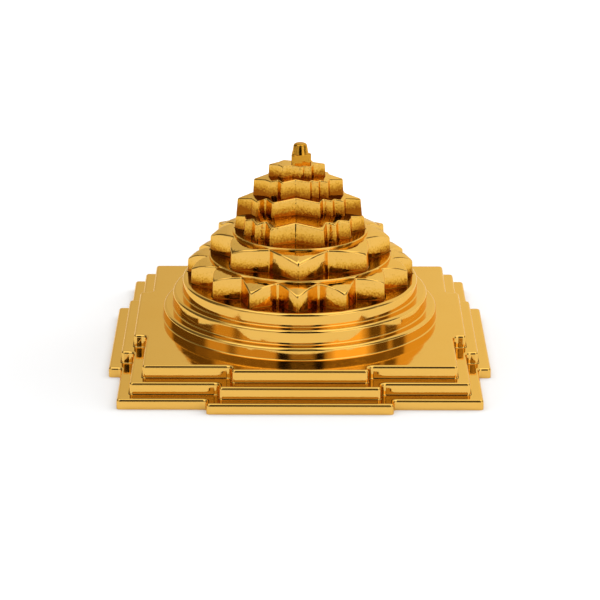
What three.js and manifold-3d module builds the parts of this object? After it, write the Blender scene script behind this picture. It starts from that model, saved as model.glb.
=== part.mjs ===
// Shri yantra in its raised, stepped form, as a stack of separate cast tiers.
// From the bottom: three square terraces with gates, three round girdle rings, a lotus of
// sixteen petals, a lotus of eight petals, four star tiers, a triangle and the bindu.
// A stud through the middle clamps the stack, and two dowels keep the terraces square.
// Millimetres, Z up, underside on Z = 0, the stud's axis on X = Y = 0.

import * as THREE from 'three';
import { mergeVertices } from 'three/addons/utils/BufferGeometryUtils.js';
import Module from 'manifold-3d';

const wasm = await Module();
wasm.setup();

// Clearances and small features shared by the whole stack
const boreClearance = 0.3;
const pocketClearance = 0.3;
const petalDraft = 0.12;
const triangleDraft = 0.12;
const roundSegments = 64;
const boreSegments = 32;
const filletSteps = 2;
const cornerSteps = 2;
const finestRound = 0.2;
const sideSteps = 4;
const domeSteps = 3;

// Square terraces
const terraceWidth = 70.7;
const terraceLedge = 2.4;
const gateWidth = 36;
const gateReach = 2.55;
const terraceHeights = { lower: 2.1, middle: 2.5, upper: 2.65 };
const terraceFillet = 0.22;
const terraceCorner = 0.35;

// Round girdle rings
const girdleRadius = 27.7;
const girdleLedge = 1.98;
const girdleHeights = { lower: 2.45, middle: 2.95, upper: 2.75 };
const girdleFillet = 0.5;

// Lotus tiers. The tips of one half run from the front to the back, and the other half
// mirrors them. The crown is level inside the valleys and falls away as far as the reach.
const sixteen = {
  tips: [
    [0, -22.6], [9.3, -20.6], [16.9, -14.3], [21.7, -5.8], [22.9, 1.8], [21, 9.2],
    [15.8, 16.3], [8.5, 21], [0, 22.7],
  ],
  valley: 18.5, reach: 22.7, height: 4.45, fall: 1.45, bulge: 0.05, fillet: 0.28, corner: 0.3,
};
const eight = {
  tips: [[0, -17.8], [13.3, -11.4], [18.2, 1.4], [17, 10.6], [0, 18.2]],
  valley: 13.9, reach: 17.9, height: 4.55, fall: 1.4, bulge: 0.07, fillet: 0.4, corner: 0.4,
};

// Thin round discs under the upper lotus and the stars, each wider than the front tip on it
// or than the long axis on it by its rim
const lotusDisc = { rim: 0.55, height: 0.55, fillet: 0.15 };
const starDisc = { rim: 0.75, height: 0.45, fillet: 0.12 };

// Star tiers. Each outline is half a star, mirrored in its long axis. It runs from the left
// point to the right one as tips and valleys in turn, where one side of every tip crosses
// the long axis almost squarely, as the sides of nine interlaced triangles do.
const starFourteen = {
  half: [
    [-12.85, 0], [-10.9, 2.4], [-10.7, 4.9], [-9.3, 5.4], [-8.5, 8.2], [-6.6, 7.6], [-5.5, 11.3],
    [-0.7, 9.4],
    [4.7, 11.4], [5.3, 8.1], [7.1, 8.7], [7.6, 6.7], [9.9, 6], [10.2, 2.8], [12.85, 0],
  ],
  height: 4.2, fall: 1.6, level: 6, across: 0.85, draft: 0.3, fillet: 0.25, corner: 0.15,
};
const starTenOuter = {
  half: [
    [-12.6, 0], [-9.6, 2.1], [-8.5, 4.4], [-6.7, 3.4], [-5.3, 6.2],
    [-0.75, 4.4],
    [3.9, 6.3], [4.5, 4.1], [6.4, 4.7], [6.8, 3.4], [8.7, 3.5], [9, 1.7], [12.3, 0],
  ],
  height: 5.2, fall: 1.7, level: 0, across: 1, draft: 0.3, fillet: 0.25, corner: 0.15,
};
const starTenInner = {
  half: [
    [-9.3, 0], [-6.9, 1.8], [-5.8, 3.3], [-4.4, 3], [-3.5, 4.6],
    [-0.9, 3.3],
    [1.9, 4.5], [2.3, 3.5], [3.6, 3.9], [4, 3], [5.5, 3.4], [5.8, 1.7], [8.6, 0],
  ],
  height: 4.4, fall: 1.05, level: 0, across: 1, draft: 0.18, fillet: 0.22, corner: 0.12,
};
const starEight = {
  half: [
    [-6.3, 0], [-4.3, 1.1], [-3.5, 2.3],
    [-1.4, 1.6],
    [0, 2.6], [0.9, 1.8], [2.1, 2.4], [2.6, 0.9], [5.1, 0],
  ],
  height: 2.85, fall: 0.3, level: 3, across: 1, draft: 0.12, fillet: 0.2, corner: 0.1,
};

// How far each star sinks into a pocket in the tier below
const pocketDepth = { starTenOuter: 1.5, starTenInner: 0.95, starEight: 0.55 };

// Triangle and bindu at the top
const triangle = { back: 1.75, halfBase: 1.95, point: 2.9, height: 2.05, fillet: 0.2, corner: 1 };
const bindu = { foot: 1.65, crown: 1.42, height: 2.1, fillet: 0.42, segments: 40 };

// Stud, washer and nut that clamp the stack, and the dowels
const studRadius = 1.25;
const studGrip = 1.8;
const washer = { radius: 3.2, height: 0.35 };
const nut = { acrossFlats: 5, height: 1 };
const nutRecess = { radius: 4, depth: 1.4 };
const dowel = { radius: 1, place: 22, floor: 0.8, grip: 1.5 };

// The clamped tiers stand about a degree off square on the terraces
const stackTurn = -1.2;

// Stack levels, each one worked out from the tiers below it
const terraceBase = {
  lower: 0,
  middle: terraceHeights.lower,
  upper: terraceHeights.lower + terraceHeights.middle,
};
const girdleBase = { lower: terraceBase.upper + terraceHeights.upper };
girdleBase.middle = girdleBase.lower + girdleHeights.lower;
girdleBase.upper = girdleBase.middle + girdleHeights.middle;
const sixteenBase = girdleBase.upper + girdleHeights.upper;
const lotusDiscBase = sixteenBase + sixteen.height;
const eightBase = lotusDiscBase + lotusDisc.height;
const starDiscBase = eightBase + eight.height;
const fourteenBase = starDiscBase + starDisc.height;
const tenOuterBase = fourteenBase + starFourteen.height - pocketDepth.starTenOuter;
const tenInnerBase = tenOuterBase + starTenOuter.height - pocketDepth.starTenInner;
const starEightBase = tenInnerBase + starTenInner.height - pocketDepth.starEight;
const triangleBase = starEightBase + starEight.height;
const binduBase = triangleBase + triangle.height;

// An outline is a closed list of corners [x, y, blunt], anticlockwise seen from above. Blunt
// is how far from the corner its rounding starts, and 0 leaves the corner sharp.

function unit(from, to) {
  const length = Math.hypot(to[0] - from[0], to[1] - from[1]);
  return [(to[0] - from[0]) / length, (to[1] - from[1]) / length];
}

// Moves every side of an outline outwards by the distance, and meets them at mitred corners
function grown(outline, distance) {
  return outline.map((corner, i) => {
    const before = unit(outline.at(i - 1), corner);
    const after = unit(corner, outline[(i + 1) % outline.length]);
    const turn = 1 + before[0] * after[0] + before[1] * after[1];
    return [
      corner[0] + (distance * (before[1] + after[1])) / turn,
      corner[1] - (distance * (before[0] + after[0])) / turn,
      corner[2],
    ];
  });
}

// Points of an outline. A blunt corner becomes a curve tangent to both sides, or a plain
// chamfer where it is finer than the finest round.
function traced(outline) {
  return outline.flatMap((corner, i) => {
    const [x, y, blunt] = corner;
    if (blunt === 0) return [[x, y]];
    const back = unit(corner, outline.at(i - 1));
    const ahead = unit(corner, outline[(i + 1) % outline.length]);
    const start = new THREE.Vector2(x + blunt * back[0], y + blunt * back[1]);
    const end = new THREE.Vector2(x + blunt * ahead[0], y + blunt * ahead[1]);
    const curve = new THREE.QuadraticBezierCurve(start, new THREE.Vector2(x, y), end);
    const steps = blunt < finestRound ? 1 : cornerSteps;
    return curve.getPoints(steps).map((point) => [point.x, point.y]);
  });
}

function turned(outline, degrees) {
  const angle = THREE.MathUtils.degToRad(degrees);
  const cos = Math.cos(angle);
  const sin = Math.sin(angle);
  return outline.map(([x, y, blunt]) => [x * cos - y * sin, x * sin + y * cos, blunt]);
}

// A square with a gate standing out in the middle of each side
function terraceOutline(width, gate) {
  const side = width / 2;
  const half = gate / 2;
  const gateFace = side + gateReach;
  const quarter = [[side, -side], [side, -half], [gateFace, -half], [gateFace, half], [side, half]];
  const corners = quarter.map(([x, y]) => [x, y, terraceCorner]);
  return [0, 90, 180, 270].flatMap((angle) => turned(corners, angle));
}

// Points on the way from one point to another along a shallow arc that bulges outwards,
// without the two ends
function bowed(from, to, bulge) {
  const across = to[0] - from[0];
  const along = to[1] - from[1];
  return Array.from({ length: sideSteps - 1 }, (_, i) => {
    const share = (i + 1) / sideSteps;
    const lift = 4 * bulge * share * (1 - share);
    return [from[0] + share * across + lift * along, from[1] + share * along - lift * across, 0];
  });
}

// Petals between their tips and a valley circle, with every valley midway between two tips
function lotusOutline({ tips, valley, bulge, corner }) {
  const mirrored = tips.slice(1, -1).reverse().map(([x, y]) => [-x, y]);
  const ring = [...tips, ...mirrored].map(([x, y]) => new THREE.Vector2(x, y));
  const outline = ring.flatMap((tip, i) => {
    const next = ring[(i + 1) % ring.length];
    const middle = tip.clone().normalize().add(next.clone().normalize()).setLength(valley);
    const low = middle.toArray();
    return [
      [...tip.toArray(), corner],
      ...bowed(tip.toArray(), low, bulge),
      [...low, 0],
      ...bowed(low, next.toArray(), bulge),
    ];
  });
  return turned(outline, stackTurn);
}

function starOutline({ half, corner }) {
  const front = half.map(([x, y]) => [x, -y, corner]);
  const back = half.slice(1, -1).reverse().map(([x, y]) => [x, y, corner]);
  return turned([...front, ...back], stackTurn);
}

function triangleOutline({ back, halfBase, point, corner }) {
  const corners = [[-back, -halfBase, corner], [point, 0, corner], [-back, halfBase, corner]];
  return turned(corners, stackTurn);
}

const flat = { level: 0, reach: 1, fall: 0, across: 1 };

// Height of a domed top: level in the middle, then falling away as far as the reach. Across
// is how much a distance across the long axis counts.
function crown(top, { level, reach, fall, across }) {
  return (x, y) => {
    const share = (Math.hypot(x, y * across) - level) / (reach - level);
    return top - fall * THREE.MathUtils.clamp(share, 0, 1) ** 2;
  };
}

// Joins closed rings of equal length into one skin and closes it at both ends
function skin(rings, foot, head) {
  const count = rings[0].length;
  const vertices = [foot, ...rings.flat(), head];
  const faces = [];
  for (let i = 0; i < count; i += 1) {
    const next = (i + 1) % count;
    faces.push(0, 1 + next, 1 + i);
    for (let level = 0; level < rings.length - 1; level += 1) {
      const low = 1 + level * count;
      const high = low + count;
      faces.push(low + i, low + next, high + next, low + i, high + next, high + i);
    }
    const last = 1 + (rings.length - 1) * count;
    faces.push(vertices.length - 1, last + i, last + next);
  }
  const geometry = new THREE.BufferGeometry();
  geometry.setAttribute('position', new THREE.Float32BufferAttribute(vertices.flat(), 3));
  geometry.setIndex(faces);
  return geometry;
}

// One cast tier: drafted walls on an outline, a rounded top edge and a level or domed top
function tier({ outline, base, height, fillet, draft = 0, dome = flat }) {
  const top = base + height;
  const heightAt = crown(top, dome);
  const wall = traced(outline);
  const rings = [traced(grown(outline, draft)).map(([x, y]) => [x, y, base])];
  for (let i = 0; i <= filletSteps; i += 1) {
    const angle = (i / filletSteps) * (Math.PI / 2);
    const inner = traced(grown(outline, -fillet * (1 - Math.cos(angle))));
    const drop = fillet * (1 - Math.sin(angle));
    rings.push(inner.map(([x, y], j) => [x, y, heightAt(...wall[j]) - drop]));
  }
  const edge = rings.at(-1);
  const steps = dome.fall > 0 ? domeSteps : 0;
  // Without a level middle the last ring stops one step short of the centre
  const divisions = dome.level > 0 ? domeSteps : domeSteps + 1;
  for (let i = 1; i <= steps; i += 1) {
    const share = 1 - (i / divisions) * (1 - dome.level / dome.reach);
    rings.push(edge.map(([x, y]) => [x * share, y * share, heightAt(x * share, y * share)]));
  }
  return skin(rings, [0, 0, base], [0, 0, top]);
}

// Turned pieces from a half profile of [radius, height]
function turnedPiece(profile, segments) {
  const points = profile.map(([radius, height]) => new THREE.Vector2(radius, height));
  return new THREE.LatheGeometry(points, segments).rotateX(Math.PI / 2);
}

// Half profile of a round slab whose top edge is rounded
function slabProfile(foot, crownRadius, base, height, fillet) {
  const profile = [[0, base], [foot, base]];
  for (let i = 0; i <= filletSteps; i += 1) {
    const angle = (i / filletSteps) * (Math.PI / 2);
    profile.push([
      crownRadius - fillet * (1 - Math.cos(angle)),
      base + height - fillet * (1 - Math.sin(angle)),
    ]);
  }
  return [...profile, [0, base + height]];
}

function prism(outline, from, to) {
  const shape = new THREE.Shape(traced(outline).map(([x, y]) => new THREE.Vector2(x, y)));
  const geometry = new THREE.ExtrudeGeometry(shape, { depth: to - from, bevelEnabled: false });
  return geometry.translate(0, 0, from);
}

function cylinder(radius, from, to, segments = boreSegments) {
  const geometry = new THREE.CylinderGeometry(radius, radius, to - from, segments);
  return geometry.rotateX(Math.PI / 2).translate(0, 0, (from + to) / 2);
}

function toSolid(geometry) {
  const bare = geometry.clone();
  bare.deleteAttribute('normal');
  bare.deleteAttribute('uv');
  const merged = mergeVertices(bare, 1e-5);
  return new wasm.Manifold(new wasm.Mesh({
    numProp: 3,
    vertProperties: new Float32Array(merged.attributes.position.array),
    triVerts: new Uint32Array(merged.index.array),
  }));
}

function toGeometry(solid) {
  const mesh = solid.getMesh();
  const geometry = new THREE.BufferGeometry();
  geometry.setAttribute('position', new THREE.Float32BufferAttribute(mesh.vertProperties, 3));
  geometry.setIndex([...mesh.triVerts]);
  return geometry;
}

// Takes the cutting shapes out of a piece
function cut(geometry, ...tools) {
  const solid = tools.reduce((left, tool) => left.subtract(toSolid(tool)), toSolid(geometry));
  return toGeometry(solid);
}

const group = new THREE.Group();
group.name = 'shri_yantra';

const finishes = {
  base: { color: 0xe0b055, roughness: 0.16 },
  ring: { color: 0xdca548, roughness: 0.15 },
  lotus: { color: 0xd79f40, roughness: 0.2 },
  star: { color: 0xd0922f, roughness: 0.28 },
  steel: { color: 0x9a9890, roughness: 0.4 },
};

function add(name, geometry, finish) {
  const faceted = geometry.index ? geometry.toNonIndexed() : geometry;
  faceted.computeVertexNormals();
  const material = new THREE.MeshStandardMaterial({ ...finishes[finish], metalness: 1 });
  const mesh = new THREE.Mesh(faceted, material);
  mesh.name = name;
  group.add(mesh);
}

// Through bore for the stud, shared by every tier that it passes
const studTop = starEightBase + studGrip;
const studBore = cylinder(studRadius + boreClearance, -1, studTop);

const dowelTop = girdleBase.lower + dowel.grip;
const dowelBores = [-1, 1].map((side) => {
  const bore = cylinder(dowel.radius + boreClearance, dowel.floor, dowelTop);
  return bore.translate(side * dowel.place, 0, 0);
});

// Base terraces
const terraceNames = ['lower', 'middle', 'upper'];
const recess = cylinder(nutRecess.radius, -1, nutRecess.depth);
terraceNames.forEach((name, i) => {
  const inset = 2 * terraceLedge * i;
  const outline = terraceOutline(terraceWidth - inset, gateWidth - inset);
  const slab = tier({
    outline, base: terraceBase[name], height: terraceHeights[name], fillet: terraceFillet,
  });
  const tools = [studBore, ...dowelBores];
  if (name === 'lower') tools.push(recess);
  add(`terrace_${name}`, cut(slab, ...tools), 'base');
});

// Girdle rings
terraceNames.forEach((name, i) => {
  const radius = girdleRadius - girdleLedge * i;
  const profile = slabProfile(radius, radius, girdleBase[name], girdleHeights[name], girdleFillet);
  const tools = name === 'lower' ? [studBore, ...dowelBores] : [studBore];
  add(`girdle_${name}`, cut(turnedPiece(profile, roundSegments), ...tools), 'ring');
});

// Lotus tiers and the discs on them
function lotus(name, sizes, base) {
  const piece = tier({
    outline: lotusOutline(sizes),
    base,
    height: sizes.height,
    fillet: sizes.fillet,
    draft: petalDraft,
    dome: { level: sizes.valley, reach: sizes.reach, fall: sizes.fall, across: 1 },
  });
  add(name, cut(piece, studBore), 'lotus');
}

function disc(name, held, { rim, height, fillet }, base) {
  const radius = held + rim;
  const profile = slabProfile(radius, radius, base, height, fillet);
  add(name, cut(turnedPiece(profile, roundSegments), studBore), 'ring');
}

lotus('lotus_sixteen', sixteen, sixteenBase);
disc('lotus_disc', Math.hypot(...eight.tips[0]), lotusDisc, lotusDiscBase);
lotus('lotus_eight', eight, eightBase);
disc('star_disc', starFourteen.half.at(-1)[0], starDisc, starDiscBase);

// Star tiers, each with the pocket for the next one
function pocketFor(sizes, base) {
  const outline = grown(starOutline(sizes), sizes.draft + pocketClearance);
  return prism(outline, base, base + sizes.height);
}

function star(name, sizes, base, tools) {
  const { fall, level, across } = sizes;
  const reach = Math.max(...sizes.half.map(([x, y]) => Math.hypot(x, y * across)));
  const piece = tier({
    outline: starOutline(sizes),
    base,
    height: sizes.height,
    fillet: sizes.fillet,
    draft: sizes.draft,
    dome: { level, reach, fall, across },
  });
  add(name, cut(piece, ...tools), 'star');
}

star('star_fourteen', starFourteen, fourteenBase, [pocketFor(starTenOuter, tenOuterBase), studBore]);
star('star_ten_outer', starTenOuter, tenOuterBase, [pocketFor(starTenInner, tenInnerBase), studBore]);
star('star_ten_inner', starTenInner, tenInnerBase, [pocketFor(starEight, starEightBase), studBore]);
star('star_eight', starEight, starEightBase, [studBore]);

// Triangle and bindu
add('triangle', tier({
  outline: triangleOutline(triangle),
  base: triangleBase,
  height: triangle.height,
  fillet: triangle.fillet,
  draft: triangleDraft,
}), 'star');
const binduProfile = slabProfile(bindu.foot, bindu.crown, binduBase, bindu.height, bindu.fillet);
add('bindu', turnedPiece(binduProfile, bindu.segments), 'star');

// Stud, washer, nut and dowels
const washerBase = nutRecess.depth - washer.height;
const nutBase = washerBase - nut.height;
add('stud', cylinder(studRadius, nutBase, studTop), 'steel');
add('washer', cut(cylinder(washer.radius, washerBase, nutRecess.depth), studBore), 'steel');
const nutBody = cylinder(nut.acrossFlats / Math.sqrt(3), nutBase, washerBase, 6);
add('nut', cut(nutBody, studBore), 'steel');
[-1, 1].forEach((side) => {
  const pin = cylinder(dowel.radius, dowel.floor, dowelTop);
  add(side < 0 ? 'dowel_left' : 'dowel_right', pin.translate(side * dowel.place, 0, 0), 'steel');
});

export default group;
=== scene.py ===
"""Shri yantra in raised form: gilded cast tiers, its studio and the view of the photograph.

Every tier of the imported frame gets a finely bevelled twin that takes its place. The steel
fastenings underneath stay as they are and get their own finish. Pieces are modelled in
millimetres and brought to metres at the end.
"""

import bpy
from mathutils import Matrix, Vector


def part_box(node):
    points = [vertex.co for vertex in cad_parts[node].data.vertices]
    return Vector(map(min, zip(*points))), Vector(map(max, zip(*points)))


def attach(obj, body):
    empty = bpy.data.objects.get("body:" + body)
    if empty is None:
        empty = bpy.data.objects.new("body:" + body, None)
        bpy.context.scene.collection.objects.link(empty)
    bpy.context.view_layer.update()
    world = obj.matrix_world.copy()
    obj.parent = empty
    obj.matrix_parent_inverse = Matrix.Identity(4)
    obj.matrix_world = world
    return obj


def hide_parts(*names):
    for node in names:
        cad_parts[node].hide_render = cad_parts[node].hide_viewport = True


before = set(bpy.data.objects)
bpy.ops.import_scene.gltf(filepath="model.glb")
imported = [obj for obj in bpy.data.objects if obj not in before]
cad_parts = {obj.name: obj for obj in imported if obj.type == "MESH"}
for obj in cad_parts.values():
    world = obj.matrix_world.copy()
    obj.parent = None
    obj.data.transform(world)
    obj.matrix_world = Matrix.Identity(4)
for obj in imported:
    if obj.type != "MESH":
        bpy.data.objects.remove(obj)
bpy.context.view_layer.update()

import logging
import math
from dataclasses import dataclass, replace
from enum import Enum
from typing import Callable, Iterable, Sequence

import bmesh
import bpy
from mathutils import Vector

LOG = logging.getLogger("shri_yantra")
MM = 0.001

Point = tuple[float, float]
Span = tuple[float, float]
Place = tuple[float, float, float]
Colour = tuple[float, float, float]
Piece = bpy.types.Object
Socket = bpy.types.NodeSocket

# The clamped tiers stand about a degree off square on the terraces
STACK_TURN = -1.2
# Gap between a tier's walls and the pocket that it sits in, too fine to see
SEAT_GAP = 0.02
STUD_BORE = 1.55
DOWEL_BORE = 1.3
DOWEL_PLACE = 22.0
DOWEL_TOP = 8.75
DOWEL_FLOOR = 0.8
NUT_RECESS_RADIUS = 4.0
NUT_RECESS_DEPTH = 1.4
STUD_TOP = 38.0
# Straight band at the foot of a drafted wall
FOOT_BAND = 0.05
# Upright lip under a hollow rounding at a wall's foot
LIP = 0.02
# Steps of that rounding, inwards and upwards, as shares of its radius
COVE_STEPS = ((0.5, 0.134), (0.366, 0.366), (0.134, 0.5))
# Least turn of an outline that counts as a corner, and the steps of the arc that rounds it
CORNER_TURN = math.radians(24)
ARC_STEPS = 4
# By how much an upright edge is rounder than the rim above it
TIP_SPARE = 0.04
# What a star outline gains so that its rounded tips still reach as far
TIP_GAIN = 0.09
# How far a domed tier is raised before its crown is pressed down onto the guide
PRESS = 0.6
# Where a crown is divided for that, as shares of its outline
CROWN_SHARES = (0.93, 0.86, 0.78, 0.7, 0.6, 0.5, 0.4)
# The guide's rings and steps round, and how far it reaches past the crown
GUIDE_RINGS = 40
GUIDE_STEPS = 256
GUIDE_SPARE = 1.15
# How far a cutting pin stands out of what it cuts, and its sides
PIN_SPARE = 1.0
PIN_SIDES = 64
# Corners that are closer than this are merged
MERGE_GAP = 1e-4
# Steepness that tells a wall from a top, as the upright part of a face's normal
STEEP = 0.5
# Faces that meet at less than this are shaded as one, and the large ones count more
SMOOTH_ANGLE = math.radians(32)
FACE_WEIGHT = 80


# Drawing outlines


def turned(points: Iterable[Point], degrees: float) -> list[Point]:
    """Turns points about the stud's axis.

    Args:
        points: Corners as (x, y).
        degrees: Angle, anticlockwise seen from above.

    Returns:
        The turned corners.
    """
    cos, sin = math.cos(math.radians(degrees)), math.sin(math.radians(degrees))
    return [(x * cos - y * sin, x * sin + y * cos) for x, y in points]


def grown(points: Sequence[Point], distance: float) -> list[Point]:
    """Moves every side of an outline outwards and meets them at mitred corners.

    Args:
        points: Corners, anticlockwise seen from above.
        distance: How far the sides move.

    Returns:
        The corners of the larger outline.
    """
    result = []
    for i, corner in enumerate(points):
        here = Vector(corner)
        before = (here - Vector(points[i - 1])).normalized()
        after = (Vector(points[(i + 1) % len(points)]) - here).normalized()
        reach = distance / (1 + before.dot(after))
        sides = before + after
        result.append((here.x + reach * sides.y, here.y - reach * sides.x))
    return result


def bowed(start: Point, end: Point, bulge: float, steps: int) -> list[Point]:
    """Points between two corners on a shallow arc that bulges outwards.

    Args:
        start: First corner, left out of the result.
        end: Second corner, left out of the result.
        bulge: Height of the arc as a share of its chord.
        steps: Number of straight pieces that stand for the arc.

    Returns:
        The points in between.
    """
    dx, dy = end[0] - start[0], end[1] - start[1]
    points = []
    for i in range(1, steps):
        share = i / steps
        lift = 4 * bulge * share * (1 - share)
        points.append((start[0] + share * dx + lift * dy, start[1] + share * dy - lift * dx))
    return points


def rounded(points: Sequence[Point], outer: float, hollow: float) -> list[Point]:
    """Rounds the corners of an outline and leaves its gentle bends as they are.

    Args:
        points: Corners, anticlockwise seen from above.
        outer: Radius at the corners that point outwards.
        hollow: Radius at the corners that point inwards.

    Returns:
        The outline with an arc in place of each corner.
    """
    result: list[Point] = []
    for i, corner in enumerate(points):
        here = Vector(corner)
        before = (Vector(points[i - 1]) - here).normalized()
        after = (Vector(points[(i + 1) % len(points)]) - here).normalized()
        turn = math.pi - before.angle(after)
        if turn < CORNER_TURN:
            result.append(corner)
            continue
        points_out = before.x * after.y - before.y * after.x < 0
        reach = (outer if points_out else hollow) * math.tan(turn / 2)
        weight = math.cos(turn / 2)
        for i_step in range(ARC_STEPS + 1):
            share = i_step / ARC_STEPS
            start, middle, end = (1 - share) ** 2, 2 * weight * share * (1 - share), share**2
            offset = reach * (start * before + end * after) / (start + middle + end)
            result.append(tuple(here + offset))
    return result


# Working a mesh by hand


def deselect() -> None:
    """Leaves edit mode if need be and deselects every object."""
    if bpy.context.object and bpy.context.object.mode == "EDIT":
        bpy.ops.object.mode_set(mode="OBJECT")
    bpy.ops.object.select_all(action="DESELECT")


def begin_edit(piece: Piece) -> None:
    """Makes a piece the only selected one and opens it in edit mode.

    Args:
        piece: The piece to work on.
    """
    deselect()
    piece.select_set(True)
    bpy.context.view_layer.objects.active = piece
    bpy.ops.object.mode_set(mode="EDIT")


def end_edit() -> None:
    """Goes back to object mode."""
    bpy.ops.object.mode_set(mode="OBJECT")


def pick_edges(piece: Piece, test: Callable[[bmesh.types.BMEdge], bool]) -> None:
    """Selects the edges that pass the test, and nothing else.

    Args:
        piece: The object in edit mode.
        test: Says whether an edge is wanted.
    """
    bpy.ops.mesh.select_mode(type="EDGE")
    bpy.ops.mesh.select_all(action="DESELECT")
    mesh = bmesh.from_edit_mesh(piece.data)
    mesh.normal_update()
    wanted = [edge for edge in mesh.edges if test(edge)]
    for edge in wanted:
        edge.select_set(True)
    bmesh.update_edit_mesh(piece.data)


def place_corners(piece: Piece, places: Sequence[Sequence[float]]) -> None:
    """Moves the corners of a new circle to their places, one after another.

    Args:
        piece: The circle, in edit mode, with as many corners as there are places.
        places: The corners' places as (x, y, z), in the order of the circle.
    """
    bpy.ops.mesh.select_mode(type="VERT")
    mesh = bmesh.from_edit_mesh(piece.data)
    if mesh.faces:
        order = [vert.index for vert in next(iter(mesh.faces)).verts]
    else:
        order = list(range(len(mesh.verts)))
    for index, place in zip(order, places):
        bpy.ops.mesh.select_all(action="DESELECT")
        mesh = bmesh.from_edit_mesh(piece.data)
        mesh.verts.ensure_lookup_table()
        corner = mesh.verts[index]
        corner.select_set(True)
        move = Vector(place) - corner.co
        bmesh.update_edit_mesh(piece.data)
        bpy.ops.transform.translate(value=move)


def new_circle(name: str, corners: int, filled: bool) -> Piece:
    """Adds a circle and opens it in edit mode.

    Args:
        name: Name of the new piece.
        corners: Number of its corners.
        filled: Whether it is one face or only its edges.

    Returns:
        The circle.
    """
    deselect()
    bpy.ops.mesh.primitive_circle_add(
        vertices=corners, radius=1, fill_type="NGON" if filled else "NOTHING"
    )
    piece = bpy.context.object
    piece.name = piece.data.name = name
    bpy.ops.object.mode_set(mode="EDIT")
    return piece


def outline_face(name: str, points: Sequence[Point], level: float) -> Piece:
    """Draws a closed outline as one level face.

    Args:
        name: Name of the new piece.
        points: Corners, anticlockwise seen from above.
        level: Height of the face.

    Returns:
        The piece, in edit mode with its face selected.
    """
    piece = new_circle(name, len(points), True)
    place_corners(piece, [(x, y, level) for x, y in points])
    bpy.ops.mesh.select_mode(type="FACE")
    bpy.ops.mesh.select_all(action="SELECT")
    return piece


def extrude(rise: float) -> None:
    """Extrudes the selected face straight up."""
    bpy.ops.mesh.extrude_region_move(TRANSFORM_OT_translate={"value": (0, 0, rise)})


def coved(radius: float) -> None:
    """Raises the selected foot face along a hollow rounding that draws it in to the wall.

    Args:
        radius: Radius of the rounding.
    """
    extrude(LIP)
    for inwards, upwards in COVE_STEPS:
        bpy.ops.mesh.inset(
            thickness=inwards * radius, depth=upwards * radius, use_even_offset=True
        )


def outward() -> None:
    """Merges doubled corners and turns all faces outwards, in edit mode."""
    bpy.ops.mesh.select_all(action="SELECT")
    bpy.ops.mesh.remove_doubles(threshold=MERGE_GAP)
    bpy.ops.mesh.select_all(action="SELECT")
    bpy.ops.mesh.normals_make_consistent(inside=False)


def block(name: str, points: Sequence[Point], low: float, high: float) -> Piece:
    """Raises an outline into a plain straight block, used to cut a pocket.

    Args:
        name: Name of the new piece.
        points: Corners, anticlockwise seen from above.
        low: Level of its foot.
        high: Level of its top.

    Returns:
        The block, in object mode.
    """
    piece = outline_face(name, points, low)
    extrude(high - low)
    outward()
    end_edit()
    return piece


def pin(name: str, radius: float, low: float, high: float, x: float = 0) -> Piece:
    """Adds a plain round pin along Z, used to cut a bore.

    Args:
        name: Name of the new piece.
        radius: Its radius.
        low: Level of its foot.
        high: Level of its top.
        x: How far it stands from the stud's axis.

    Returns:
        The pin, in object mode.
    """
    deselect()
    bpy.ops.mesh.primitive_cylinder_add(
        vertices=PIN_SIDES, radius=radius, depth=high - low, location=(x, 0, (low + high) / 2)
    )
    piece = bpy.context.object
    piece.name = name
    return piece


def dowel_bores(floor: float) -> list[Piece]:
    """Adds the two pins that cut the dowels' bores, from the given level up."""
    places = (-DOWEL_PLACE, DOWEL_PLACE)
    return [pin("dowel_bore", DOWEL_BORE, floor, DOWEL_TOP, place) for place in places]


def spun(name: str, profile: Sequence[Point], steps: int) -> Piece:
    """Spins a profile of (radius, height) once round the stud's axis.

    Args:
        name: Name of the new piece.
        profile: The half profile, from the axis out and back to it, or open.
        steps: Number of steps round.

    Returns:
        The piece, in edit mode, with its faces outwards.
    """
    piece = new_circle(name, len(profile), False)
    place_corners(piece, [(radius, 0, height) for radius, height in profile])
    last = len(profile) - 1
    pick_edges(piece, lambda edge: {vert.index for vert in edge.verts} == {0, last})
    bpy.ops.mesh.delete(type="EDGE")
    bpy.ops.mesh.select_all(action="SELECT")
    bpy.ops.mesh.spin(steps=steps, angle=math.tau, center=(0, 0, 0), axis=(0, 0, 1))
    outward()
    return piece


def bevel(size: float, segments: int, affect: str = "EDGES") -> None:
    """Rounds the selected edges, or the corners of a flat face.

    Args:
        size: Radius of the rounding.
        segments: Number of faces or sides that stand for it.
        affect: EDGES or VERTICES.
    """
    bpy.ops.mesh.bevel(
        offset_type="OFFSET", offset=size, segments=segments, profile=0.5, affect=affect
    )


def apply_modifiers(piece: Piece) -> None:
    """Applies every modifier of a piece in turn.

    Args:
        piece: The piece.
    """
    deselect()
    piece.select_set(True)
    bpy.context.view_layer.objects.active = piece
    for modifier in list(piece.modifiers):
        bpy.ops.object.modifier_apply(modifier=modifier.name)


def remove(piece: Piece) -> None:
    """Deletes a cutting or guiding shape that has done its work."""
    bpy.data.meshes.remove(piece.data)


def cut(piece: Piece, *tools: Piece) -> None:
    """Takes each tool out of the piece and deletes the tool.

    Args:
        piece: The piece to cut.
        tools: Closed shapes to take out of it.
    """
    for tool in tools:
        modifier = piece.modifiers.new("cut", "BOOLEAN")
        modifier.operation = "DIFFERENCE"
        modifier.solver = "FAST"
        modifier.object = tool
        apply_modifiers(piece)
        remove(tool)


def is_rim(edge: bmesh.types.BMEdge) -> bool:
    """Says whether an edge lies between a wall and a top.

    Args:
        edge: The edge.

    Returns:
        True for an edge that stands out, with one steep face and one that looks up.
    """
    if len(edge.link_faces) != 2 or not edge.is_convex:
        return False
    low, high = sorted(face.normal.z for face in edge.link_faces)
    return abs(low) < STEEP < high


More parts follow.
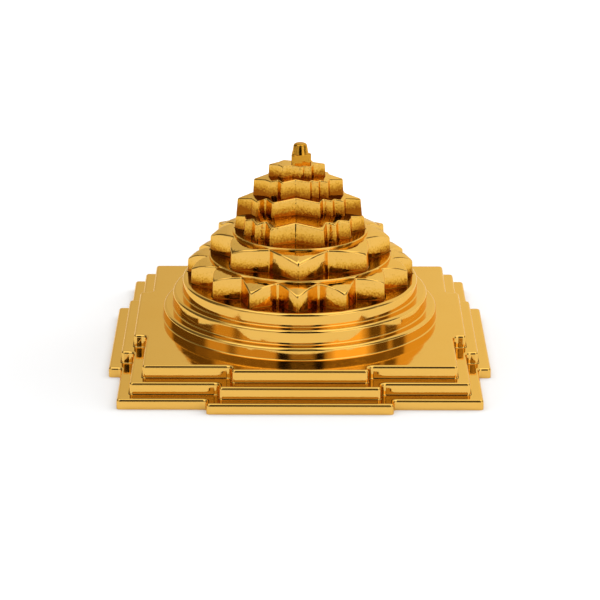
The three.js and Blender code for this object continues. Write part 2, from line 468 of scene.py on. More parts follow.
def round_rim(piece: Piece, size: float, segments: int) -> None:
    """Rounds the edges between a piece's walls and its top, and ends its editing.

    Args:
        piece: The piece, in edit mode.
        size: Radius of the rounding.
        segments: Number of faces that stand for it.
    """
    pick_edges(piece, is_rim)
    bevel(size, segments)
    end_edit()


# Finishes


class Tree:
    """Small builder for a tree of shader nodes."""

    def __init__(self, tree: bpy.types.NodeTree) -> None:
        """Keeps the tree that the nodes go into."""
        self.tree = tree

    def add(self, kind: str) -> bpy.types.Node:
        """Adds a node of a kind, such as Math."""
        return self.tree.nodes.new(f"ShaderNode{kind}")

    def feed(self, socket: Socket, value: Socket | Colour | float) -> None:
        """Gives an input its value.

        Args:
            socket: The input.
            value: An output to link to it, a colour or a number.
        """
        if isinstance(value, bpy.types.NodeSocket):
            self.tree.links.new(value, socket)
        elif isinstance(value, tuple):
            socket.default_value = (*value, 1)
        else:
            socket.default_value = value

    def math(self, operation: str, *values: Socket | float) -> Socket:
        """Applies a math operation.

        Args:
            operation: Name of the operation.
            values: Its inputs, in order.

        Returns:
            The result's socket.
        """
        node = self.add("Math")
        node.operation = operation
        for socket, value in zip(node.inputs, values):
            self.feed(socket, value)
        return node.outputs["Value"]

    def ramp(
        self,
        source: Socket,
        low: float,
        high: float,
        start: float = 0.3,
        end: float = 0.7,
        shape: str = "LINEAR",
    ) -> Socket:
        """Maps a pattern onto a range of values.

        Args:
            source: The socket to map.
            low: Value at the pattern's start.
            high: Value at the pattern's end.
            start: Where the pattern's range starts.
            end: Where the pattern's range ends.
            shape: LINEAR or SMOOTHSTEP.

        Returns:
            The mapped value's socket.
        """
        node = self.add("MapRange")
        node.interpolation_type = shape
        node.inputs["From Min"].default_value = start
        node.inputs["From Max"].default_value = end
        node.inputs["To Min"].default_value = low
        node.inputs["To Max"].default_value = high
        self.feed(node.inputs["Value"], source)
        return node.outputs["Result"]

    def within(self, source: Socket, span: Span, soft: float) -> Socket:
        """Tells where a value lies within a span, with soft ends.

        Args:
            source: Socket of the value.
            span: Start and end of the span.
            soft: How far each end fades to either side.

        Returns:
            The share's socket, 1 inside and 0 outside.
        """
        start, end = span
        rise = self.ramp(source, 0, 1, start - soft, start + soft, "SMOOTHSTEP")
        fall = self.ramp(source, 0, 1, end + soft, end - soft, "SMOOTHSTEP")
        return self.math("MULTIPLY", rise, fall)

    def blend(self, source: Socket, first: Socket | Colour, second: Socket | Colour) -> Socket:
        """Mixes two colours by a pattern.

        Args:
            source: Socket of the pattern.
            first: Colour where the pattern is 0.
            second: Colour where the pattern is 1.

        Returns:
            The mixed colour's socket.
        """
        node = self.add("Mix")
        node.data_type = "RGBA"
        for name, value in (("Factor", source), ("A", first), ("B", second)):
            self.feed(node.inputs[name], value)
        return node.outputs["Result"]


class Metal(Tree):
    """Builder for a metal, with a Principled shader wired to its output."""

    def __init__(self, name: str) -> None:
        """Starts the material.

        Args:
            name: The material's name.
        """
        self.material = bpy.data.materials.new(name)
        self.material.use_nodes = True
        super().__init__(self.material.node_tree)
        self.shader = self.tree.nodes["Principled BSDF"]
        self.shader.inputs["Metallic"].default_value = 1
        self.place = self.add("TexCoord").outputs["Object"]

    def noise(self, scale: float, detail: float, stretch: Place = (1, 1, 1)) -> Socket:
        """Adds a noise pattern on Object coordinates.

        Args:
            scale: Cells per metre.
            detail: Octaves of the noise.
            stretch: Scale of the pattern along each axis.

        Returns:
            The pattern's value socket.
        """
        mapping = self.add("Mapping")
        mapping.inputs["Scale"].default_value = stretch
        self.feed(mapping.inputs["Vector"], self.place)
        noise = self.add("TexNoise")
        noise.inputs["Scale"].default_value = scale
        noise.inputs["Detail"].default_value = detail
        self.feed(noise.inputs["Vector"], mapping.outputs["Vector"])
        return noise.outputs["Fac"]

    def height(self, pattern: Socket, stray: float) -> Socket:
        """Height above the ground, shifted up and down by a pattern.

        Args:
            pattern: Socket of the pattern.
            stray: How far the pattern moves the height, in metres.

        Returns:
            The height's socket.
        """
        split = self.add("SeparateXYZ")
        self.feed(split.inputs["Vector"], self.place)
        return self.math("MULTIPLY_ADD", pattern, stray, split.outputs["Z"])

    def bump(self, source: Socket, depth: float, under: Socket | None = None) -> Socket:
        """Adds a bump of a real depth.

        Args:
            source: Socket of the pattern that stands out.
            depth: How far it stands out, in metres.
            under: Normal socket of a bump that this one lies on.

        Returns:
            The normal's socket.
        """
        node = self.add("Bump")
        node.inputs["Strength"].default_value = 1
        node.inputs["Distance"].default_value = depth
        self.feed(node.inputs["Height"], source)
        if under is not None:
            self.feed(node.inputs["Normal"], under)
        return node.outputs["Normal"]

    def wire(self, source: Socket, name: str) -> None:
        """Connects a socket to the shader's input of that name."""
        self.feed(self.shader.inputs[name], source)


class Skin(Enum):
    """How smooth the metal under the gold is.

    Each skin has the share that dark specks cover, and the depths of its slow waves and of
    its fine pits in metres.
    """

    PLATE = (0.0, 0.00002, 0.000001)
    CAST = (0.22, 0.00005, 0.000005)
    DIMPLED = (0.35, 0.00005, 0.000012)

    def __init__(self, specks: float, waves: float, pits: float) -> None:
        """Names the three values."""
        self.specks, self.waves, self.pits = specks, waves, pits


@dataclass(frozen=True)
class Gilding:
    """Gold plate over a polished or cast skin, with painted shade low on the walls, where darker
    reflections fall.

    The patterns' scales are in cells per metre, and the bands are shares of the span with painted
    shade.
    """

    name: str
    skin: Skin
    with_painted_shade: Span | None = None
    colour: Colour = (0.88, 0.525, 0.12)
    deep: Colour = (0.86, 0.48, 0.09)
    edge: Colour = (1.0, 0.84, 0.55)
    # Painted shade low on the walls, first honey and then brown
    painted_honey_shade: Colour = (0.8, 0.4, 0.03)
    painted_brown_shade: Colour = (0.26, 0.062, 0.002)
    pit: Colour = (0.3, 0.13, 0.015)
    # How far the painted shade hides the gold at the walls' feet
    cover: float = 0.95
    polish: float = 0.045
    rubbed: float = 0.06
    middle_stray: float = 0.0014
    # Where the honey and the brown painted shade lie, as shares of the span with painted shade
    painted_honey_band: Span = (0.45, 1.4)
    painted_brown_band: Span = (0, 0.8)
    cloud_scale: float = 90
    speck_scale: float = 2600
    speck_size: Span = (0.62, 0.7)
    rub_scale: float = 700
    wave_scale: float = 60
    pit_scale: float = 1500
    pit_size: Span = (0.35, 0.55)

    def material(self) -> bpy.types.Material:
        """Builds the metal with its clouding, polish marks and dimples.

        Returns:
            The finished material.
        """
        metal = Metal(self.name)
        metal.shader.inputs["Specular Tint"].default_value = (*self.edge, 1)
        tone = metal.blend(metal.noise(self.cloud_scale, detail=3), self.colour, self.deep)
        # Painted shade low on the walls, in place of the darker reflections there
        if self.with_painted_shade:
            tone = self.paint_low_shade(metal, tone)
        if self.skin.specks:
            grain = metal.noise(self.speck_scale, detail=2)
            specks = metal.ramp(grain, 0, self.skin.specks, *self.speck_size)
            tone = metal.blend(specks, tone, self.pit)
        metal.wire(tone, "Base Color")
        rubbing = metal.noise(self.rub_scale, detail=4)
        rough = metal.ramp(rubbing, self.polish, self.polish + self.rubbed)
        metal.wire(rough, "Roughness")
        waves = metal.bump(metal.noise(self.wave_scale, detail=1), self.skin.waves)
        pits = metal.ramp(metal.noise(self.pit_scale, detail=3), 0, 1, *self.pit_size)
        metal.wire(metal.bump(pits, self.skin.pits, waves), "Normal")
        return metal.material

    def paint_low_shade(self, metal: Metal, tone: Socket) -> Socket:
        """Paints shade onto the gold towards the walls' feet, first honey and then brown, in place
        of the darker reflections there.

        Args:
            metal: The material's builder.
            tone: Socket of the gold's colour.

        Returns:
            The darker colour's socket.
        """
        low, high = self.with_painted_shade
        stray = metal.height(metal.noise(self.speck_scale, detail=5), -2 * self.middle_stray)
        # Each pass paints one layer of shade that fades out upwards
        for shade, band in ((self.painted_honey_shade, self.painted_honey_band), (self.painted_brown_shade, self.painted_brown_band)):
            levels_mm = (low + share * (high - low) for share in band)
            start, end = (level * MM - self.middle_stray for level in levels_mm)
            tone = metal.blend(metal.ramp(stray, self.cover, 0, start, end), tone, shade)
        return tone


@dataclass(frozen=True)
class PlainSteel:
    """Turned steel of the hidden fastenings, with fine turning marks across Z."""

    name: str = "turned_steel"
    colour: Colour = (0.52, 0.51, 0.49)
    dull: Colour = (0.38, 0.37, 0.36)
    polish: Span = (0.28, 0.45)
    cloud_scale: float = 300
    rub_scale: float = 900
    rub_stretch: Place = (1, 1, 6)
    mark_scale: float = 800
    mark_stretch: Place = (1, 1, 8)
    mark_depth: float = 0.00001

    def material(self) -> bpy.types.Material:
        """Builds the steel with its marks.

        Returns:
            The finished material.
        """
        metal = Metal(self.name)
        clouds = metal.noise(self.cloud_scale, detail=3)
        metal.wire(metal.blend(clouds, self.colour, self.dull), "Base Color")
        rubbing = metal.noise(self.rub_scale, 2, self.rub_stretch)
        metal.wire(metal.ramp(rubbing, *self.polish), "Roughness")
        marks = metal.noise(self.mark_scale, 2, self.mark_stretch)
        metal.wire(metal.bump(marks, self.mark_depth), "Normal")
        return metal.material


def keep(piece: Piece, node: str, material: bpy.types.Material) -> None:
    """Finishes a piece and hands it over to the frame in place of a node.

    Args:
        piece: The modelled piece, in millimetres.
        node: Name of the CAD node that it stands for.
        material: Its finish.
    """
    begin_edit(piece)
    bpy.ops.mesh.select_all(action="SELECT")
    bpy.ops.transform.resize(value=(MM, MM, MM), center_override=(0, 0, 0))
    bpy.ops.mesh.normals_make_consistent(inside=False)
    end_edit()
    if piece.vertex_groups:
        bpy.ops.object.vertex_group_remove(all=True)
    bpy.ops.object.shade_smooth_by_angle(angle=SMOOTH_ANGLE)
    weighted = piece.modifiers.new("even", "WEIGHTED_NORMAL")
    weighted.keep_sharp = True
    weighted.weight = FACE_WEIGHT
    apply_modifiers(piece)
    piece.data.materials.clear()
    piece.data.materials.append(material)
    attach(piece, "root")
    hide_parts(node)
    LOG.info("%s: %d faces", piece.name, len(piece.data.polygons))


def levels(node: str) -> Span:
    """Lowest and highest level of a CAD node, in millimetres."""
    low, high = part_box(node)
    return low[2] / MM, high[2] / MM


def with_painted_shade(finish: Gilding, node: str, heights: Span) -> Gilding:
    """The finish of one cast tier, with painted shade low on its walls.

    Args:
        finish: The finish that the tiers share.
        node: The tier's CAD node.
        heights: Where the painted shade starts to fade and where it ends, above the tier's foot.

    Returns:
        The tier's own finish.
    """
    # The painted shade is measured from the tier's foot
    foot = levels(node)[0]
    low, high = heights
    return replace(finish, name=f"{finish.name}_{node}", with_painted_shade=(foot + low, foot + high))


# Sub-assemblies


@dataclass
class SquareBase:
    """Three square terraces, each with a gate in the middle of every side."""

    finish: Gilding
    width: float = 70.7
    ledge: float = 2.4
    gate: float = 36.0
    reach: float = 2.55
    fillet: float = 0.6
    corner: float = 0.66
    cove: float = 0.22
    rim_steps: int = 6
    names: tuple[str, ...] = ("lower", "middle", "upper")

    def outline(self, inset: float) -> list[Point]:
        """Outline of one terrace with its four gates.

        Args:
            inset: How far it stands in from the lowest one.

        Returns:
            Its corners, anticlockwise.
        """
        side, half = self.width / 2 - inset, self.gate / 2 - inset
        face = side + self.reach
        quarter = [(side, -side), (side, -half), (face, -half), (face, half), (side, half)]
        return [point for angle in (0, 90, 180, 270) for point in turned(quarter, angle)]

    def build(self) -> None:
        """Models the three terraces and dresses them."""
        material = self.finish.material()
        for i, name in enumerate(self.names):
            low, high = levels(f"terrace_{name}")
            cove = self.cove if i else 0
            piece = outline_face(f"gilt_terrace_{name}", self.outline(i * self.ledge - cove), low)
            bevel(self.corner + cove, ARC_STEPS, "VERTICES")
            bpy.ops.mesh.select_mode(type="FACE")
            bpy.ops.mesh.select_all(action="SELECT")
            if cove:
                coved(cove)
            extrude(high - low - (LIP + cove if cove else 0))
            outward()
            round_rim(piece, self.fillet, self.rim_steps)
            bore = pin("bore", STUD_BORE, low - PIN_SPARE, high + PIN_SPARE)
            cut(piece, bore, *dowel_bores(DOWEL_FLOOR))
            if i == 0:
                cut(piece, pin("recess", NUT_RECESS_RADIUS, -PIN_SPARE, NUT_RECESS_DEPTH))
            keep(piece, f"terrace_{name}", material)


@dataclass
class RoundSlab:
    """One turned slab with a rounded top edge."""

    node: str
    radius: float
    fillet: float
    cove: float = 0
    draft: float = 0
    dowelled: bool = False
    steps: int = 192
    rim_steps: int = 6

    def build(self, material: bpy.types.Material) -> None:
        """Models the slab and dresses it.

        Args:
            material: Its finish.
        """
        low, high = levels(self.node)
        middle = self.radius / 2
        profile = [(0, low), (middle, low)]
        out, up = self.radius + self.cove, low
        if self.cove:
            for inwards, upwards in COVE_STEPS:
                profile.append((out, up))
                out, up = out - inwards * self.cove, up + upwards * self.cove
        profile += [(self.radius, up), (self.radius - self.draft, high), (middle, high), (0, high)]
        piece = spun(f"gilt_{self.node}", profile, self.steps)
        round_rim(piece, self.fillet, self.rim_steps)
        cut(piece, pin("bore", STUD_BORE, low - PIN_SPARE, high + PIN_SPARE))
        if self.dowelled:
            cut(piece, *dowel_bores(low - PIN_SPARE))
        keep(piece, self.node, material)


@dataclass
class Girdles:
    """Three girdle rings and the two thin discs between the upper tiers."""

    finish: Gilding
    slabs: tuple[RoundSlab, ...] = (
        RoundSlab("girdle_lower", 27.7, 0.62, 0.22, 0.065, dowelled=True),
        RoundSlab("girdle_middle", 25.72, 0.62, 0.2),
        RoundSlab("girdle_upper", 23.74, 0.62, 0.2),
        RoundSlab("lotus_disc", 18.35, 0.18),
        RoundSlab("star_disc", 13.6, 0.15),
    )

    def build(self) -> None:
        """Models every slab."""
        material = self.finish.material()
        for slab in self.slabs:
            slab.build(material)


@dataclass
class Dome:
    """Shape of a crown: level in the middle and falling away as far as the reach."""

    level: float
    reach: float
    fall: float
    across: float = 1.0
    power: float = 2.0

    def guide(self, top: float) -> Piece:
        """Spins the surface that a crown is pressed onto.

        Args:
            top: Height of the crown's middle.

        Returns:
            The guide, in object mode.
        """
        profile = []
        for i in range(GUIDE_RINGS + 1):
            radius = GUIDE_SPARE * self.reach * i / GUIDE_RINGS
            share = min(max((radius - self.level) / (self.reach - self.level), 0), 1)
            profile.append((radius, top - self.fall * share**self.power))
        piece = spun("guide", profile, GUIDE_STEPS)
        bpy.ops.mesh.select_all(action="SELECT")
        bpy.ops.transform.resize(value=(1, 1 / self.across, 1), center_override=(0, 0, 0))
        end_edit()
        return piece


def crowned_tier(
    name: str,
    foot: Sequence[Point],
    low: float,
    high: float,
    draft: float,
    dome: Dome,
    cove: float = 0,
) -> Piece:
    """Raises drafted walls on an outline and presses their top into a dome.

    Args:
        name: Name of the new piece.
        foot: The outline at the foot, anticlockwise.
        low: Level of the foot.
        high: Level of the crown's middle.
        draft: How far the wall's foot stands out from the crown.
        dome: Shape of the crown.
        cove: Radius of the hollow rounding at the foot, or 0 where the foot sits in a pocket.

    Returns:
        The tier, in edit mode, with a sharp rim.
    """
    piece = outline_face(name, foot, low)
    if cove:
        coved(cove)
    else:
        extrude(FOOT_BAND)
    raised = high + PRESS
    rise = raised - low - (LIP + cove if cove else FOOT_BAND)
    bpy.ops.mesh.inset(thickness=draft, depth=rise, use_even_offset=True)
    last = 1.0
    for share in CROWN_SHARES:
        extrude(0)
        step = share / last
        bpy.ops.transform.resize(value=(step, step, 1), center_override=(0, 0, raised))
        last = share
    outward()
    end_edit()
    crown = piece.vertex_groups.new(name="crown")
    chosen = [vert.index for vert in piece.data.vertices if vert.co.z > high + PRESS / 2]
    crown.add(chosen, 1, "REPLACE")
    guide = dome.guide(high)
    press = piece.modifiers.new("press", "SHRINKWRAP")
    press.wrap_method = "PROJECT"
    press.use_project_z = True
    press.use_negative_direction = True
    press.use_positive_direction = False
    press.target = guide
    press.vertex_group = crown.name
    apply_modifiers(piece)
    remove(guide)
    begin_edit(piece)
    return piece


@dataclass
class Lotus:
    """One tier of pointed petals."""

    node: str
    tips: tuple[Point, ...]
    valley: float
    reach: float
    fall: float
    bulge: float
    fillet: float
    # Heights above the foot where the painted shade low on the walls fades out
    with_painted_shade: Span
    power: float = 3.2
    draft: float = 0.12
    crease: float = 0.22
    cove: float = 0.2
    side_steps: int = 6
    rim_steps: int = 5

    def outline(self) -> list[Point]:
        """Petal tips joined by bowed sides to valleys midway between them.

        Returns:
            The outline's points, anticlockwise.
        """
        ring = [*self.tips, *[(-x, y) for x, y in reversed(self.tips[1:-1])]]
        points: list[Point] = []
        for i, tip in enumerate(ring):
            following = ring[(i + 1) % len(ring)]
            middle = Vector(tip).normalized() + Vector(following).normalized()
            low = tuple(middle.normalized() * self.valley)
            points.append(tip)
            points.extend(bowed(tip, low, self.bulge, self.side_steps))
            points.append(low)
            points.extend(bowed(low, following, self.bulge, self.side_steps))
        return turned(points, STACK_TURN)

    def build(self, material: bpy.types.Material) -> None:
        """Models the tier and dresses it.

        Args:
            material: Its finish.
        """
        low, high = levels(self.node)
        dome = Dome(self.valley, self.reach, self.fall, power=self.power)
        spread = self.draft + self.cove
        foot = rounded(
            grown(self.outline(), spread), self.fillet + TIP_SPARE + spread, self.crease
        )
        piece = crowned_tier(f"gilt_{self.node}", foot, low, high, self.draft, dome, self.cove)
        round_rim(piece, self.fillet, self.rim_steps)
        cut(piece, pin("bore", STUD_BORE, low - PIN_SPARE, high + PIN_SPARE))
        keep(piece, self.node, material)


@dataclass
class Lotuses:
    """The lotus of sixteen petals and the lotus of eight."""

    finish: Gilding
    tiers: tuple[Lotus, ...] = (
        Lotus(
            node="lotus_sixteen",
            tips=(
                (0, -22.6), (9.3, -20.6), (16.9, -14.3), (21.7, -5.8), (22.9, 1.8),
                (21, 9.2), (15.8, 16.3), (8.5, 21), (0, 22.7),
            ),
            valley=18.5, reach=22.7, fall=1.65, bulge=0.05, fillet=0.3, with_painted_shade=(0.5, 2.1),
        ),
        Lotus(
            node="lotus_eight",
            tips=((0, -17.8), (13.3, -11.4), (18.2, 1.4), (17, 10.6), (0, 18.2)),
            valley=13.9, reach=17.9, fall=1.65, bulge=0.07, fillet=0.38, with_painted_shade=(0.5, 2),
        ),
    )

    def build(self) -> None:
        """Models both tiers."""
        for tier in self.tiers:
            # Each tier's finish gets painted shade low on its walls
            tier.build(with_painted_shade(self.finish, tier.node, tier.with_painted_shade).material())


@dataclass
class Star:
    """One star tier, given by half its outline and the height of its crown's middle."""

    node: str
    half: tuple[Point, ...]
    middle: float
    dome: Dome
    draft: float
    fillet: float
    # Heights above the foot where the painted shade low on the walls fades out
    with_painted_shade: Span
    cove: float = 0
    crease: float = 0.2
    rim_steps: int = 4

    def outline(self) -> list[Point]:
        """The whole outline, front half first.

        Returns:
            Its corners, anticlockwise.
        """
        front = [(x, -y) for x, y in self.half]
        back = [(x, y) for x, y in reversed(self.half[1:-1])]
        return turned([*front, *back], STACK_TURN)

    def foot(self, gap: float) -> list[Point]:
        """Outline of the foot with rounded corners.

        Args:
            gap: How much wider than the foot it is.

        Returns:
            Its points, anticlockwise.
        """
        spread = self.draft + gap
        wide = grown(self.outline(), spread + TIP_GAIN)
        return rounded(wide, self.fillet + TIP_SPARE + spread, self.crease)

    def build(self, material: bpy.types.Material, above: "Star | None") -> None:
        """Models the tier with the pocket for the one above it.

        Args:
            material: Its finish.
            above: The star that sits in this one, if there is one.
        """
        low, high = levels(self.node)
        foot, middle = self.foot(self.cove), low + self.middle
        piece = crowned_tier(
            f"gilt_{self.node}", foot, low, middle, self.draft, self.dome, self.cove
        )
        round_rim(piece, self.fillet, self.rim_steps)
        if above is not None:
            floor, top = levels(above.node)[0], high + 2 * PIN_SPARE
            cut(piece, block("pocket", above.foot(SEAT_GAP), floor, top))
        cut(piece, pin("bore", STUD_BORE, low - PIN_SPARE, STUD_TOP))
        keep(piece, self.node, material)


@dataclass
class Stars:
    """Four star tiers, each seated in a pocket of the one below."""

    finish: Gilding
    tiers: tuple[Star, ...] = (
        Star(
            node="star_fourteen",
            middle=4.2,
            half=(
                (-12.85, 0), (-10.9, 2.4), (-10.7, 4.9), (-9.3, 5.4), (-8.5, 8.2), (-6.6, 7.6),
                (-5.5, 11.3), (-0.7, 9.4), (4.7, 11.4), (5.3, 8.1), (7.1, 8.7), (7.6, 6.7),
                (9.9, 6), (10.2, 2.8), (12.85, 0),
            ),
            dome=Dome(6, 12.85, 1.6, 0.85), draft=0.3, fillet=0.26, with_painted_shade=(0.3, 2.6), cove=0.16,
        ),
        Star(
            node="star_ten_outer",
            middle=5.2,
            half=(
                (-12.6, 0), (-9.6, 2.1), (-8.5, 4.4), (-6.7, 3.4), (-5.3, 6.2), (-0.75, 4.4),
                (3.9, 6.3), (4.5, 4.1), (6.4, 4.7), (6.8, 3.4), (8.7, 3.5), (9, 1.7), (12.3, 0),
            ),
            dome=Dome(0, 12.6, 1.7), draft=0.3, fillet=0.24, with_painted_shade=(1.9, 3.9),
        ),
        Star(
            node="star_ten_inner",
            middle=4.4,
            half=(
                (-9.3, 0), (-6.9, 1.8), (-5.8, 3.3), (-4.4, 3), (-3.5, 4.6), (-0.9, 3.3),
                (1.9, 4.5), (2.3, 3.5), (3.6, 3.9), (4, 3), (5.5, 3.4), (5.8, 1.7), (8.6, 0),
            ),
            dome=Dome(0, 9.3, 1.05), draft=0.18, fillet=0.22, with_painted_shade=(1.2, 3.3),
        ),
        Star(
            node="star_eight",
            middle=2.85,
            half=(
                (-6.3, 0), (-4.3, 1.1), (-3.5, 2.3), (-1.4, 1.6), (0, 2.6), (0.9, 1.8),
                (2.1, 2.4), (2.6, 0.9), (5.1, 0),
            ),
            dome=Dome(3, 6.3, 0.3), draft=0.12, fillet=0.18, with_painted_shade=(0.7, 2.2),
        ),
    )

    def build(self) -> None:
        """Models the tiers from the widest to the smallest."""
        for tier, above in zip(self.tiers, (*self.tiers[1:], None)):
            # Each tier's finish gets painted shade low on its walls
            tier.build(with_painted_shade(self.finish, tier.node, tier.with_painted_shade).material(), above)


@dataclass
class Finial:
    """The triangle with its blunt corners and the round bindu on it."""

    finish: Gilding
    back: float = 1.75
    half_base: float = 1.95
    point: float = 2.9
    corner: float = 0.45
    fillet: float = 0.24
    foot: float = 1.65
    crown: float = 1.3
    crown_fillet: float = 0.5
    bindu_steps: int = 64
    triangle_rim_steps: int = 4
    bindu_rim_steps: int = 6

    def build(self) -> None:
        """Models both pieces and dresses them."""
        material = self.finish.material()
        low, high = levels("triangle")
        corners = [(-self.back, -self.half_base), (self.point, 0), (-self.back, self.half_base)]
        outline = rounded(turned(corners, STACK_TURN), self.corner, self.corner)
        piece = outline_face("gilt_triangle", outline, low)
        extrude(high - low)
        outward()
        round_rim(piece, self.fillet, self.triangle_rim_steps)
        keep(piece, "triangle", material)

        low, high = levels("bindu")
        top = [(self.crown, high), (self.crown / 2, high), (0, high)]
        piece = spun("gilt_bindu", [(0, low), (self.foot, low), *top], self.bindu_steps)
        round_rim(piece, self.crown_fillet, self.bindu_rim_steps)
        keep(piece, "bindu", material)


@dataclass
class Fastenings:
    """Steel stud, washer, nut and dowels, kept as the frame has them."""

    finish: PlainSteel
    nodes: tuple[str, ...] = ("stud", "washer", "nut", "dowel_left", "dowel_right")

    def build(self) -> None:
        """Gives the fastenings their finish."""
        material = self.finish.material()
        for name in self.nodes:
            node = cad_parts[name]
            node.data.materials.clear()
            node.data.materials.append(material)
            LOG.info("%s: dressed", name)


# Studio


@dataclass
class Softbox:
    """One soft lamp that points at a spot on the object."""

    name: str
    place: Place
    aim: Place
    size: Span
    power: float

    def build(self) -> None:
        """Hangs the lamp, which lights the floor and isn't mirrored itself."""
        data = bpy.data.lights.new(self.name, "AREA")
        data.shape = "RECTANGLE"
        data.size, data.size_y = self.size
        data.energy = self.power
        lamp = bpy.data.objects.new(self.name, data)
        lamp.location = self.place
        way = Vector(self.aim) - Vector(self.place)
        lamp.rotation_euler = way.to_track_quat("-Z", "Y").to_euler()
        lamp.visible_glossy = False
        bpy.context.scene.collection.objects.link(lamp)


@dataclass(frozen=True)
class Patch:
    """One part of the room that polished metal mirrors, given by its direction.

    The azimuth runs from the camera's side of the object, positive to the right, and the
    height from the horizon, both in degrees.
    """

    azimuth: Span
    height: Span
    soft: float
    tone: Colour


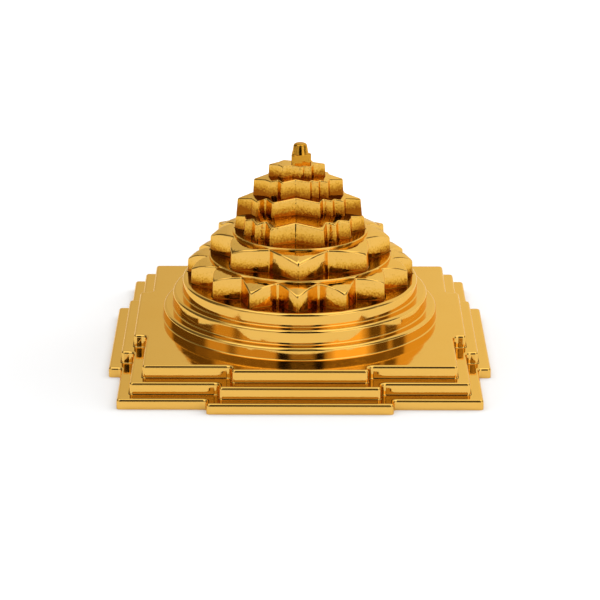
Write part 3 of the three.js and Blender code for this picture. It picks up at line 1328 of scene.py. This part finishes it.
@dataclass
class Studio:
    """Pale floor, soft lamps, a white surround with a dim front, and the camera."""

    floor_side: float = 6.0
    floor_colour: Colour = (0.8, 0.8, 0.8)
    shadow_reach: Span = (0.055, 0.12)
    floor_glow: Span = (0.06, 0.35)
    lamps: tuple[Softbox, ...] = (
        Softbox("top_box", (0.05, 0.12, 0.75), (0, 0, 0.01), (1.5, 1.2), 5.2),
        Softbox("right_box", (0.75, 0.2, 0.5), (0, 0, 0.02), (0.7, 0.6), 2.6),
        Softbox("left_box", (-0.75, 0.1, 0.5), (0, 0, 0.02), (0.5, 0.5), 0.9),
    )
    white: Colour = (1.0, 1.0, 1.0)
    left_tone: Colour = (0.66, 0.65, 0.64)
    right_tone: Colour = (0.92, 0.92, 0.92)
    tone_change: Span = (-0.12, 0.1)
    room_light: float = 0.6
    patches: tuple[Patch, ...] = (
        # Dim front of the room, a bright panel to the right of it and dark walls at both sides
        Patch((-100, 100), (-15, 42), 9, (0.72, 0.71, 0.7)),
        Patch((27, 58), (-10, 36), 4, (1.35, 1.37, 1.38)),
        Patch((64, 98), (0, 48), 4, (0.16, 0.15, 0.14)),
        Patch((78, 83), (0, 48), 2, (0.6, 0.59, 0.58)),
        Patch((-138, -84), (0, 55), 5, (0.14, 0.13, 0.12)),
        Patch((-62, -54), (0, 40), 4, (0.3, 0.29, 0.28)),
        # Dark band above eye level
        Patch((-100, 100), (22.5, 28), 1.5, (0.24, 0.22, 0.2)),
        # Light from above, which runs along the rounded edges
        Patch((-105, 105), (50, 88), 4, (1.5, 1.52, 1.5)),
        # Darkest part, straight ahead, with a pale spot at eye level
        Patch((-19, 21), (-8, 72), 3, (0.015, 0.015, 0.015)),
        Patch((-8, 12), (15, 24), 3, (0.6, 0.59, 0.58)),
    )
    lens: float = 167.12
    sensor: float = 36
    sight: Span = (0.01, 20)
    camera_place: Place = (-0.0016603, -0.5344084, 0.1967575)
    camera_turn: Place = (70.7432, -0.1784, -0.1199)

    def build(self) -> None:
        """Sets up the floor, the lamps, the surround and the camera."""
        self.floor()
        for lamp in self.lamps:
            lamp.build()
        self.surround()
        self.camera()

    def floor(self) -> None:
        """Lays a plain white floor that keeps the object's shadow."""
        deselect()
        bpy.ops.mesh.primitive_plane_add(size=self.floor_side)
        floor = bpy.context.object
        floor.name = "floor"
        material = bpy.data.materials.new("white_floor")
        material.use_nodes = True
        tree = Tree(material.node_tree)
        tree.tree.nodes.clear()
        paint = tree.add("BsdfDiffuse")
        tree.feed(paint.inputs["Color"], self.floor_colour)
        glow = tree.add("Emission")
        seen = tree.add("LightPath").outputs["Is Camera Ray"]
        tree.feed(glow.inputs["Strength"], tree.math("MULTIPLY", seen, self.paling(tree)))
        both = tree.add("AddShader")
        tree.feed(both.inputs[0], paint.outputs["BSDF"])
        tree.feed(both.inputs[1], glow.outputs["Emission"])
        tree.feed(tree.add("OutputMaterial").inputs["Surface"], both.outputs["Shader"])
        floor.data.materials.append(material)

    def paling(self, tree: Tree) -> Socket:
        """Glow of the floor, which is weak round the object, where its shadow lies.

        Args:
            tree: The floor's node tree.

        Returns:
            The strength's socket.
        """
        length = tree.add("VectorMath")
        length.operation = "LENGTH"
        tree.feed(length.inputs[0], tree.add("TexCoord").outputs["Object"])
        away = length.outputs["Value"]
        return tree.ramp(away, *self.floor_glow, *self.shadow_reach, "SMOOTHSTEP")

    def surround(self) -> None:
        """White surround, which polished metal mirrors with the patches on it."""
        world = bpy.data.worlds.new("surround")
        bpy.context.scene.world = world
        world.use_nodes = True
        tree = Tree(world.node_tree)
        tree.tree.nodes.clear()
        path = tree.add("LightPath")
        mirrored = path.outputs["Is Glossy Ray"]
        back = tree.add("Background")
        tree.feed(back.inputs["Color"], tree.blend(mirrored, self.white, self.room(tree)))
        seen = tree.math("MAXIMUM", path.outputs["Is Camera Ray"], mirrored)
        clear = tree.math("MAXIMUM", seen, path.outputs["Is Transmission Ray"])
        tree.feed(back.inputs["Strength"], tree.ramp(clear, self.room_light, 1, 0, 1))
        tree.feed(tree.add("OutputWorld").inputs["Surface"], back.outputs["Background"])

    def room(self, tree: Tree) -> Socket:
        """Tone of the room by direction: its two sides and the patches over them.

        Args:
            tree: The world's node tree.

        Returns:
            The colour's socket.
        """
        way = tree.add("SeparateXYZ")
        tree.feed(way.inputs["Vector"], tree.add("TexCoord").outputs["Generated"])
        x, y, z = way.outputs
        side = tree.ramp(x, 0, 1, *self.tone_change, "SMOOTHSTEP")
        tone = tree.blend(side, self.left_tone, self.right_tone)
        front = tree.math("MULTIPLY", y, -1)
        azimuth = tree.math("DEGREES", tree.math("ARCTAN2", x, front))
        height = tree.math("DEGREES", tree.math("ARCSINE", z))
        for patch in self.patches:
            across = tree.within(azimuth, patch.azimuth, patch.soft)
            upright = tree.within(height, patch.height, patch.soft)
            tone = tree.blend(tree.math("MULTIPLY", across, upright), tone, patch.tone)
        return tone

    def camera(self) -> None:
        """Sets the camera at the photograph's place and angle."""
        data = bpy.data.cameras.new("photo_view")
        data.lens = self.lens
        data.sensor_width = self.sensor
        data.clip_start, data.clip_end = self.sight
        camera = bpy.data.objects.new("photo_view", data)
        camera.location = self.camera_place
        camera.rotation_euler = [math.radians(angle) for angle in self.camera_turn]
        bpy.context.scene.collection.objects.link(camera)
        bpy.context.scene.camera = camera


# Gold of the triangle and the bindu, deeper than on the tiers
FINIAL_GOLD = Gilding(
    "gilt_finial", Skin.DIMPLED, colour=(0.78, 0.41, 0.045), deep=(0.5, 0.2, 0.012)
)


def main() -> None:
    """Builds every sub-assembly in order."""
    logging.basicConfig(level=logging.INFO, format="%(name)s %(message)s")
    SquareBase(Gilding("gilt_plate", Skin.PLATE)).build()
    Girdles(Gilding("gilt_girdle", Skin.PLATE)).build()
    Lotuses(Gilding("gilt_petal", Skin.CAST)).build()
    Stars(Gilding("gilt_star", Skin.DIMPLED)).build()
    Finial(FINIAL_GOLD).build()
    Fastenings(PlainSteel()).build()
    deselect()
    Studio().build()
    bpy.context.scene.view_settings.view_transform = "Standard"


if __name__ == "__main__":
    main()
